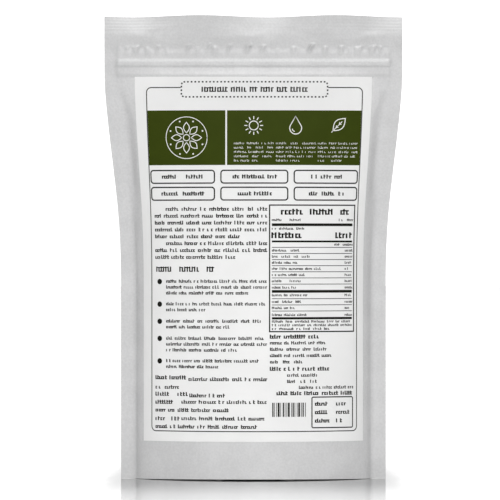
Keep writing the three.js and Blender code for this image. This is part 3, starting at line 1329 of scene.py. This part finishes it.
@dataclass(frozen=True)
class FloorFinish:
    """Pale glossy table top, clear from below. At the pouch's foot it turns matt and darker than the open
    white floor: painted shade, along with the real shade that falls there. Close to the pouch its gloss is a
    painted reflection, stronger and darker.
    """

    pale: Colour = (0.9, 0.9, 0.9)
    shade_share: float = 0.3  # how much of the open floor takes shade, and the rest is white
    bright: Colour = (1.08, 1.08, 1.08)  # tint of its gloss
    painted_reflection_tint: Colour = (0.84, 0.84, 0.84)  # tint of its gloss at the pouch: a painted darker reflection
    gloss: float = 0.06
    index: float = 1.5
    sheen: Point = (0.92, 0.4)  # strength of its gloss, and the painted reflection's strength that is added at the pouch
    # half size of the pouch's foot and the blur of its edges, which bound the painted shade and the painted
    # reflection
    foot_half: Point = (71 * MM, 18 * MM)
    foot_blur: Point = (15 * MM, 16 * MM)
    painted_reflection_reach: float = 260 * MM  # how far the painted reflection reaches ahead of the pouch, fading out

    def near(self, shader: Shader, depth: float) -> Value:
        """Nearness to the pouch's foot, which places the floor's painted shade and painted reflection.

        Args:
            shader: The floor's tree.
            depth: Over how much depth ahead of the pouch it fades.

        Returns:
            The nearness, from 1 at the foot to 0.
        """
        place = shader.node("ShaderNodeSeparateXYZ", None, {0: shader.spot()})
        beside, before = calc("ABSOLUTE", place), calc("ABSOLUTE", place.out("Y"))
        wide, deep = self.foot_half
        return fall(beside, wide, wide + self.foot_blur[0]) * fall(before, deep, deep + depth)

    def material(self) -> bpy.types.Material:
        """Builds the material.

        Returns:
            The material.
        """
        shader = Shader("pale_floor")
        shader.data.nodes.remove(shader.surface)
        painted_shade_mask, painted_reflection_mask = self.near(shader, self.foot_blur[1]), self.near(shader, self.painted_reflection_reach)
        clear = shader.node("ShaderNodeBsdfTransparent")
        matt = shader.node("ShaderNodeBsdfDiffuse", None, {"Color": (*self.pale, 1.0)})
        # painted shade: over the foot the floor turns fully matt, darker than the open white floor
        base = shader.mix(self.shade_share + (1.0 - self.shade_share) * painted_shade_mask, clear, matt)
        # painted reflection: close to the pouch the floor's gloss is darker and stronger, fading out ahead of
        # it
        tint = shader.blend(painted_reflection_mask, self.bright, self.painted_reflection_tint)
        gloss = shader.node("ShaderNodeBsdfAnisotropic", None, {"Color": tint, "Roughness": self.gloss})
        sheen = shader.node("ShaderNodeFresnel", None, {"IOR": self.index})
        top = shader.mix(sheen * (self.sheen[0] + self.sheen[1] * painted_reflection_mask), base, gloss)
        back = shader.node("ShaderNodeNewGeometry", None, None, "Backfacing")
        exit_node = next(n for n in shader.data.nodes if n.type == "OUTPUT_MATERIAL")
        shader.feed(exit_node.inputs["Surface"], shader.mix(back, top, clear))
        return shader.material


def settle(piece: bpy.types.Object, slot: str, *nodes: str) -> bpy.types.Object:
    """Puts a piece on the pouch's body.

    Args:
        piece: The finished piece.
        slot: Name of its finish's material slot; not used.
        nodes: The CAD nodes that it stands for.

    Returns:
        The piece.
    """
    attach(piece, BODY)
    if nodes:
        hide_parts(*nodes)
    LOG.info("%s: %d faces", piece.name, len(piece.data.polygons))
    return piece


@dataclass
class FilmBody:
    """The pouch's film: two walls and the gusset between their lower ends."""

    form: PouchForm
    tree: BentTree
    finish: bpy.types.Material
    column: float = 0.8  # millimetres between the film's columns
    row_spans: Sequence[Triple] = (  # low and high ends and spacing of the wall's rows, in millimetres
        (0, 4, 0.8),
        (4, 186, 2),
        (186, 212, 1),
        (212, 240, 0.5),
        (240, 248, 0.25),
    )
    label_seed: float = 3.0
    plain_seed: float = 11.0
    label_ridge: float = 0.86 * MM
    plain_ridge: float = 0.5 * MM
    gusset_sag: float = 6 * MM
    fold_round: float = 3 * MM
    fold_most: float = 0.8  # most of its half depth that the fold's rounding takes
    leg_share: float = 0.3  # parts of the gusset's rows from each rim: its upright leg
    fold_share: float = 0.25  # and its fold
    gusset_rows: int = 81

    def wall_rows(self) -> np.ndarray:
        """Heights of the wall's rows in millimetres, closest where it has most relief."""
        rows = [np.arange(*span) for span in self.row_spans]
        return np.append(np.concatenate(rows), self.form.height / MM)

    def columns(self) -> np.ndarray:
        """Places of the film's columns across its width, in millimetres."""
        half = self.form.flat_width / MM / 2
        return np.linspace(-half, half, round(2 * half / self.column) + 1)

    def wall(self, name: str, side: Side, ridge: float, seed: float, node: str) -> bpy.types.Object:
        """Builds one wall.

        Args:
            name: The piece's name.
            side: Which wall it is.
            ridge: How far the closed zip lifts it.
            seed: Seed of its uneven relief.
            node: The CAD node that it stands for.

        Returns:
            The wall.
        """
        sheet = Drawing()
        sheet.grid(self.columns(), self.wall_rows())
        sizes = self.form.bent(side, ridge, -self.form.film / 2, self.form.film, seed)
        piece = self.tree.make(name, sheet.mesh(name), self.finish, sizes)
        settle(piece, "laminate_film", node)
        return piece

    def gusset_point(self, rule: WallRule, across: float, share: float) -> Vector:
        """A point of the gusset's film.

        Args:
            rule: The walls' rule, which the gusset's legs follow.
            across: Distance along the pouch's width, on the flat film.
            share: From -1 at the label wall's rim to 1 at the other wall's.

        Returns:
            The point.
        """
        offset = -(self.form.film + self.form.gap)
        x, leg, _ = rule.place(1.0, across, self.form.rim_seal, offset)
        deepest = rule.place(1.0, 0.0, self.form.rim_seal, offset)[1]
        fold = self.form.rim_seal + deepest - leg
        bend = min(self.fold_round, self.fold_most * leg, fold / 2)
        legs, folds = self.leg_share, self.fold_share
        out = 1 - abs(share)
        if out <= legs:
            y, z = leg, (fold - bend) * out / legs
        elif out <= legs + folds:
            turn = (out - legs) / folds * math.pi / 2
            y, z = leg - bend * (1 - math.cos(turn)), fold - bend * (1 - math.sin(turn))
        else:
            inner = (1 - out) / (1 - legs - folds)
            sag = self.gusset_sag * (1 - inner**2) * max(1 - abs(across) / rule.seal_edge(), 0)
            y, z = (leg - bend) * inner, max(fold - sag, self.form.film)
        return Vector((x, math.copysign(y, share), z + rule.rim(across, z)))

    def gusset(self) -> bpy.types.Object:
        """Builds the gusset.

        Returns:
            The gusset.
        """
        sizes = {**asdict(self.form), "ridge_lift": 0.0}
        rule = WallRule(sizes.__getitem__)
        columns, shares = self.columns() * MM, np.linspace(-1, 1, self.gusset_rows)
        points = [self.gusset_point(rule, s, share) for share in shares for s in columns]
        mesh = bpy.data.meshes.new("gusset_film")
        mesh.from_pydata(points, [], lattice_faces(len(shares), len(columns)))
        mesh.materials.append(self.finish)
        draft = new_object("gusset_film.draft", mesh)
        shell = draft.modifiers.new("film", "SOLIDIFY")
        shell.thickness, shell.offset = self.form.film, 0.0
        piece = plain_copy(draft, "gusset_film")
        bpy.data.objects.remove(draft)
        settle(piece, "laminate_film", "bottom_gusset")
        depth = rule.place(1.0, 0.0, self.form.rim_seal, 0.0)[1]
        return piece

    def build(self) -> None:
        """Builds all the film."""
        self.wall("label_side_film", Side.LABEL, self.label_ridge, self.label_seed, "label_side_wall")
        self.wall("plain_side_film", Side.PLAIN, self.plain_ridge, self.plain_seed, "plain_side_wall")
        self.gusset()


@dataclass
class PaperLabel:
    """The label stuck to one wall, with its print. Its own sizes are in millimetres."""

    form: PouchForm
    sheets: BentTree
    strokes: BentTree
    ridge: float
    width: float = 127.4
    low: float = 20.5
    high: float = 215.5
    glue: float = 0.05
    paper: float = 0.14
    ink: float = 0.03
    ink_gap: float = 0.015
    columns: int = 128
    rows: int = 196
    seed: float = 3.0
    print_shift: float = 0.6  # how far the print is off the label's middle

    frame_half: float = 58.0
    frame_low: float = 26.0
    frame_high: float = 209.6
    frame_round: float = 2.6
    frame_weight: float = 0.5
    frame_opening: float = 40.2  # half of what is left open for the tab
    tab_half: float = 39.6
    tab_low: float = 204.1
    tab_high: float = 213.1
    tab_round: float = 2.2

    pill_lefts: Triple = (-57.0, -17.9, 21.2)
    pill_levels: Point = (161.55, 152.5)
    pill_width: float = 35.6
    pill_half: float = 3.4  # half its height
    pill_round: float = 1.5
    pill_weight: float = 0.68
    pill_words: Sequence[Triple] = ((22.0, 22.5, 16.5), (23.0, 17.0, 19.0))  # widths of the words in them
    word_drop: float = 0.95  # from a pill's middle to the foot of its words
    stamp_sides: Sequence[float] = (31.0, 55.2, 27.9, 44.2)
    stamp_round: float = 0.8
    stamp_weight: float = 0.6

    banner_low: float = 167.8
    banner_high: float = 197.2
    banner_inset: float = 0.3  # from the frame's middle line
    banner_split: float = -15.1
    split_half: float = 0.45
    rosette_place: Point = (-36.5, 182.5)
    badge_places: Triple = (-0.4, 22.0, 45.0)
    badge_level: float = 189.0
    badge_texts: Sequence[Point] = ((-10.8, 10.0), (11.6, 32.4), (34.2, 55.6))
    badge_shorts: Sequence[float] = (0.0, 0.4, 0.0, 1.5, 9.0)  # how far each line stops short
    badge_first: float = 178.95
    badge_pitch: float = 2.31

    text_left: float = -55.2
    text_right: float = 6.0
    text_indent: float = 6.7  # of a paragraph's first line
    text_pitch: float = 3.66
    point_left: float = -48.6  # where the text of the bulleted points starts
    point_drop: float = 0.6  # from a bullet's middle to the foot of its text
    point_pitch: float = 3.12
    bullet_place: float = -52.8
    bullet_radius: float = 1.45
    bullet_levels: Sequence[float] = (105.65, 93.6, 84.45, 75.3, 63.3)
    right_column: float = 8.4

    table_left: float = 8.0
    table_right: float = 55.9
    table_low: float = 79.1
    table_high: float = 146.4
    table_weight: float = 0.66
    rule_inset: float = 1.2
    rule_weight: float = 0.34
    row_inset: float = 1.4
    bar_count: int = 17
    bar_left: float = 9.4
    bar_ends: Point = (33.8, 41.3)
    bar_weights: Sequence[float] = (0.7, 0.35, 0.35, 1.0, 0.35)
    bar_gaps: Sequence[float] = (0.4, 0.75, 0.4, 0.4, 0.9, 0.4, 0.6)

    def __post_init__(self) -> None:
        """Makes the inks and an empty list of print."""
        self.inks = {ink: ink.value.material() for ink in Ink}
        self.print: list[bpy.types.Object] = []

    def own_sizes(self, layer: int, thickness: float) -> dict[str, float]:
        """A piece's sizes on the label wall.

        Args:
            layer: 0 for the paper, and from 1 up for the ink above it.
            thickness: Its thickness.

        Returns:
            The values of its tree's inputs.
        """
        above = self.form.film / MM / 2 + self.glue
        if layer:
            above += self.paper + self.ink_gap + (layer - 1) * (self.ink + self.ink_gap)
        return self.form.bent(Side.LABEL, self.ridge, above * MM, thickness * MM, self.seed)

    def sheet(self, finish: bpy.types.Material) -> bpy.types.Object:
        """Builds the paper.

        Args:
            finish: The paper's material.

        Returns:
            The paper.
        """
        half = self.width / 2
        drawing = Drawing()
        drawing.grid(np.linspace(-half, half, self.columns), np.linspace(self.low, self.high, self.rows))
        sizes = self.own_sizes(0, self.paper)
        piece = self.sheets.make("paper_label", drawing.mesh("paper_label"), finish, sizes)
        return settle(piece, "label_paper", "information_label")

    def put(self, name: str, drawing: Drawing, ink: Ink = Ink.DARK, layer: int = 1) -> None:
        """Prints a drawing's faces, or strokes along the lines of writing.

        Args:
            name: The piece's name.
            drawing: The drawing or writing.
            ink: Its ink.
            layer: 1 on the paper, 2 on other ink.
        """
        sizes, tree = self.own_sizes(layer, self.ink), self.sheets
        if isinstance(drawing, Writing):
            sizes, tree = {**sizes, **drawing.sizes()}, self.strokes
        piece = tree.make(name, drawing.mesh(name, self.print_shift), self.inks[ink], sizes)
        self.print.append(settle(piece, "label_paper"))

    def frame_line(self) -> None:
        """Prints the frame, which opens at the top for the dashed tab, and the pills and stamp box."""
        lines, half, tab, top = Drawing(), self.frame_half, self.tab_half, self.frame_high
        whole = rounded_box(-half, half, self.frame_low, top, self.frame_round)
        outside = [p for p in whole if not math.isclose(p[1], top) or abs(p[0]) > self.frame_opening]
        lines.ribbon([(-tab, top), *outside, (tab, top)], self.frame_weight)
        for level in self.pill_levels:
            low, high = level - self.pill_half, level + self.pill_half
            for left in self.pill_lefts:
                pill = rounded_box(left, left + self.pill_width, low, high, self.pill_round)
                lines.ribbon(pill, self.pill_weight)
        lines.ribbon(rounded_box(*self.stamp_sides, self.stamp_round), self.stamp_weight)
        self.put("frame_lines", lines)
        dashes = Writing(TextStyle.DASH)
        dashes.path(rounded_box(-tab, tab, self.tab_low, self.tab_high, self.tab_round))
        self.put("dashed_tab", dashes)

    def banner(self) -> None:
        """Prints the banner's two olive blocks, and the white ornament and badges on them."""
        blocks, edge = Drawing(), self.frame_half - self.banner_inset
        blocks.box(-edge, self.banner_split - self.split_half, self.banner_low, self.banner_high)
        blocks.box(self.banner_split + self.split_half, edge, self.banner_low, self.banner_high)
        self.put("banner_blocks", blocks, Ink.OLIVE)
        motifs = Motifs()
        motifs.rosette(self.rosette_place)
        for badge, place in zip((motifs.sun, motifs.drop, motifs.leaf), self.badge_places):
            badge((place, self.badge_level))
        self.put("banner_motifs", motifs, Ink.WHITE, layer=2)
        words = Writing(TextStyle.FAINT)
        for left, right in self.badge_texts:
            rights = [right - short for short in self.badge_shorts]
            words.block(left, rights, self.badge_first, self.badge_pitch)
        self.put("banner_text", words, Ink.WHITE, layer=2)

    def table(self) -> None:
        """Prints the ruled table: its box, rules and bars, and the block of upright bars below it."""
        rules, left, right = Drawing(), self.table_left, self.table_right
        low, high = self.table_low, self.table_high
        box = [(left, low), (right, low), (right, high), (left, high), (left, low)]
        rules.ribbon(finely(box), self.table_weight)
        thin = (123.9, 120.65, 117.4, 114.15, 110.9, 107.65, 104.35, 96.6, 93.3, 90.05)
        thick = ((135.95, 1.45), (127.05, 1.0), (100.5, 1.45), (86.2, 1.2))
        for level, weight in (*((level, self.rule_weight) for level in thin), *thick):
            rules.rule(left + self.rule_inset, right - self.rule_inset, level, weight)
        self.put("table_rules", rules)
        bars, place = Drawing(), self.bar_left
        for n in range(self.bar_count):
            weight = self.bar_weights[n % len(self.bar_weights)]
            bars.box(place, place + weight, *self.bar_ends)
            place += weight + self.bar_gaps[n % len(self.bar_gaps)]
        self.put("upright_bars", bars)

    def plain_text(self) -> None:
        """Prints the running text of the left column and the lines below the table."""
        text, left, right = Writing(TextStyle.PLAIN), self.text_left, self.text_right
        for lead, rights in ((143.4, (right, right, right, -8.5)), (125.1, (right, -11.0))):
            text.line(left + self.text_indent, right, lead)
            text.block(left, rights, lead - self.text_pitch, self.text_pitch)
        text.lines((52.8, -35.5, right), (48.5, left, -42.0), (44.1, -35.0, -16.5), (40.7, -39.5, 5.6))
        text.lines((36.3, left, -14.5), (31.9, -39.5, 4.5), (27.5, left, 0.5))
        self.put("plain_text", text)
        small = Writing(TextStyle.SMALL)
        points = ((5.8, 6.0, -4.0), (5.0, -27.0), (3.0, -14.0), (4.2, 6.0, -10.0), (1.5, -20.0))
        for level, rights in zip(self.bullet_levels, points):
            small.block(self.point_left, rights, level - self.point_drop, self.point_pitch)
        small.block(self.right_column, (38.0, 38.6, 41.5, 25.0), first=72.3, pitch=3.36)
        small.block(17.6, (33.5, 33.0), first=55.1, pitch=3.3)
        small.line(24.0, 55.0, 48.6)
        self.put("small_text", small)

    def bold_text(self) -> None:
        """Prints titles, headings, lead words, the pills' words and the round bullets."""
        heads = Writing(TextStyle.HEADING)
        heads.lines((110.9, -54.6, -22.5), (207.2, -28.0, 27.5))
        self.put("heading_text", heads)
        title = Writing(TextStyle.TITLE)
        title.lines((141.3, 14.5, 51.0), (128.8, 9.4, 24.0), (128.8, 44.8, 53.2))
        self.put("title_text", title)
        leads, left, column = Writing(TextStyle.BOLD), self.text_left, self.right_column
        for level, widths in zip(self.pill_levels, self.pill_words):
            for start, width in zip(self.pill_lefts, widths):
                middle = start + self.pill_width / 2
                leads.line(middle - width / 2, middle + width / 2, level - self.word_drop)
        leads.lines((53.55, left, -38.0), (44.75, left, -37.0), (40.45, left, -42.0), (31.65, left, -41.8))
        leads.lines((75.4, column, 34.0), (58.3, column, 40.0), (45.3, 12.0, 54.0))
        for level in (39.6, 35.1, 30.6):
            leads.lines((level, 33.0, 41.0), (level, 45.2, 52.2))
        self.put("bold_text", leads)
        bullets = Drawing()
        for level in self.bullet_levels:
            bullets.fill(arc((self.bullet_place, level), self.bullet_radius, 0, 340, 18))
        self.put("bullets", bullets)

    def table_text(self) -> None:
        """Prints the table's fine lines."""
        fine = Writing(TextStyle.FINE)
        left, right = self.table_left + self.row_inset, self.table_right - self.row_inset
        fine.lines((137.9, left, left + 15.0), (133.3, left, left + 17.0))
        fine.lines((137.9, right - 8.0, right), (124.8, right - 10.5, right))
        levels = (121.7, 118.45, 115.2, 111.95, 108.7, 105.4, 102.0, 97.9, 94.4, 91.1, 87.4)
        widths = (14.0, 20.0, 13.0, 26.0, 17.0, 15.0, 12.5, 18.5, 15.0, 11.5, 18.0)
        for level, width in zip(levels, widths):
            fine.lines((level, left, left + width), (level, right - 4.2, right))
        fine.block(left, (right - 1.5, right - 0.5, left + 31.0), first=83.9, pitch=1.95)
        self.put("table_text", fine)

    def build(self, finish: bpy.types.Material) -> None:
        """Builds the label and its print.

        Args:
            finish: The paper's material.
        """
        paper = self.sheet(finish)
        self.frame_line()
        self.banner()
        self.table()
        self.plain_text()
        self.bold_text()
        self.table_text()


@dataclass(frozen=True)
class Inside:
    """The zip strips and the heap of spikes, whose solids keep their shape."""

    zip_nodes: tuple[str, ...] = ("zip_groove_strip", "zip_rib_strip")
    heap_node: str = "long_pepper_filling"

    @staticmethod
    def dress(node: str, finish: bpy.types.Material) -> None:
        """Gives a CAD node a finish.

        Args:
            node: The node's name.
            finish: The finish.
        """
        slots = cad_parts[node].data.materials
        slots.clear()
        slots.append(finish)
        LOG.info("%s: dressed", node)

    def build(self) -> None:
        """Dresses the nodes."""
        plastic = ZipFinish().material()
        for node in self.zip_nodes:
            self.dress(node, plastic)
        self.dress(self.heap_node, SpikeFinish().material())


class Lamp(NamedTuple):
    """A soft round light that shines on the pouch: its power is in watts."""

    name: str
    place: Triple
    size: float
    power: float
    is_glossy: bool  # whether it is only seen in gloss, and otherwise it only lights matt surfaces

    def build(self, aim: float) -> None:
        """Sets the light.

        Args:
            aim: Height on the pouch's middle that it is turned to.
        """
        data = bpy.data.lights.new(self.name, "AREA")
        data.shape, data.size, data.energy = "DISK", self.size, self.power
        light = new_object(self.name, data)
        light.location = self.place
        towards = Vector((0.0, 0.0, aim)) - light.location
        light.rotation_euler = towards.to_track_quat("-Z", "Y").to_euler()
        light.visible_glossy, light.visible_diffuse = self.is_glossy, not self.is_glossy
        light.visible_camera = False


@dataclass(frozen=True)
class Studio:
    """Pale floor, soft light and the camera."""

    camera_place: Triple = (-1.8 * MM, -2.8, 122.5 * MM)
    view_width: float = 268.4 * MM  # what the picture spans at the pouch's middle
    sensor: float = 36.0
    clip_end: float = 100.0
    floor_size: float = 30.0
    floor_drop: float = 0.1 * MM
    ambient_low: float = 0.66  # light on matt surfaces from below, off the pale floor
    ambient_high: float = 0.36  # and from above
    horizon: Point = (-0.3, 0.3)  # between which it changes
    mirrored: float = 1.0  # surroundings in glossy surfaces
    white: float = 1.5  # surroundings as the camera sees them
    lamps: Sequence[Lamp] = (
        Lamp("key", (0.1, -1.6, 2.2), size=1.4, power=20.5, is_glossy=False),
        Lamp("strip", (0.15, -1.3, 1.5), size=1.4, power=8.0, is_glossy=True),
        Lamp("foot", (0.0, -0.4, 0.0), size=0.3, power=0.55, is_glossy=False),
    )

    def floor(self) -> None:
        """Lays the floor."""
        half = self.floor_size / 2
        mesh = bpy.data.meshes.new("floor")
        corners = [(-half, -half), (half, -half), (half, half), (-half, half)]
        mesh.from_pydata([(x, y, -self.floor_drop) for x, y in corners], [], [(0, 1, 2, 3)])
        mesh.materials.append(FloorFinish().material())
        new_object("floor", mesh)

    def surroundings(self) -> None:
        """Lights the scene from all round, with white to be seen and softer light on the pouch."""
        world = bpy.data.worlds.new("studio")
        world.use_nodes = True
        bpy.context.scene.world = world
        tree = Tree(world.node_tree)
        path = tree.node("ShaderNodeLightPath", None, None, "Is Camera Ray")
        way = tree.node("ShaderNodeTexCoord", None, None, "Generated")
        up = ramp(tree.node("ShaderNodeSeparateXYZ", None, {0: way}, "Z"), *self.horizon)
        ambient = self.ambient_low + (self.ambient_high - self.ambient_low) * up
        strength = self.mirrored + (self.white - self.mirrored) * path
        strength = strength + (ambient - self.mirrored) * path.out("Is Diffuse Ray")
        sky = next(n for n in world.node_tree.nodes if n.type == "BACKGROUND")
        tree.feed(sky.inputs["Color"], (1.0, 1.0, 1.0, 1.0))
        tree.feed(sky.inputs["Strength"], strength)

    def camera(self) -> None:
        """Sets the level camera."""
        data = bpy.data.cameras.new("camera")
        data.sensor_width = self.sensor
        data.lens = self.sensor * -self.camera_place[1] / self.view_width
        data.clip_end = self.clip_end
        camera = new_object("camera", data)
        camera.location = self.camera_place
        camera.rotation_euler = (math.pi / 2, 0.0, 0.0)
        bpy.context.scene.camera = camera

    def build(self) -> None:
        """Sets the studio up."""
        self.camera()
        self.floor()
        self.surroundings()
        for lamp in self.lamps:
            lamp.build(self.camera_place[2])
        bpy.context.scene.view_settings.view_transform = "Standard"


def main() -> None:
    """Builds the pouch piece by piece, and the studio around it."""
    logging.basicConfig(level=logging.INFO, format="%(name)s %(message)s")
    Studio().build()
    form = PouchForm()
    sheets = SheetTree()
    body = FilmBody(form, sheets, FILM_FINISH.material())
    body.build()
    PaperLabel(form, sheets, StrokeTree(), body.label_ridge).build(PAPER_FINISH.material())
    Inside().build()


if __name__ == "__main__":
    main()
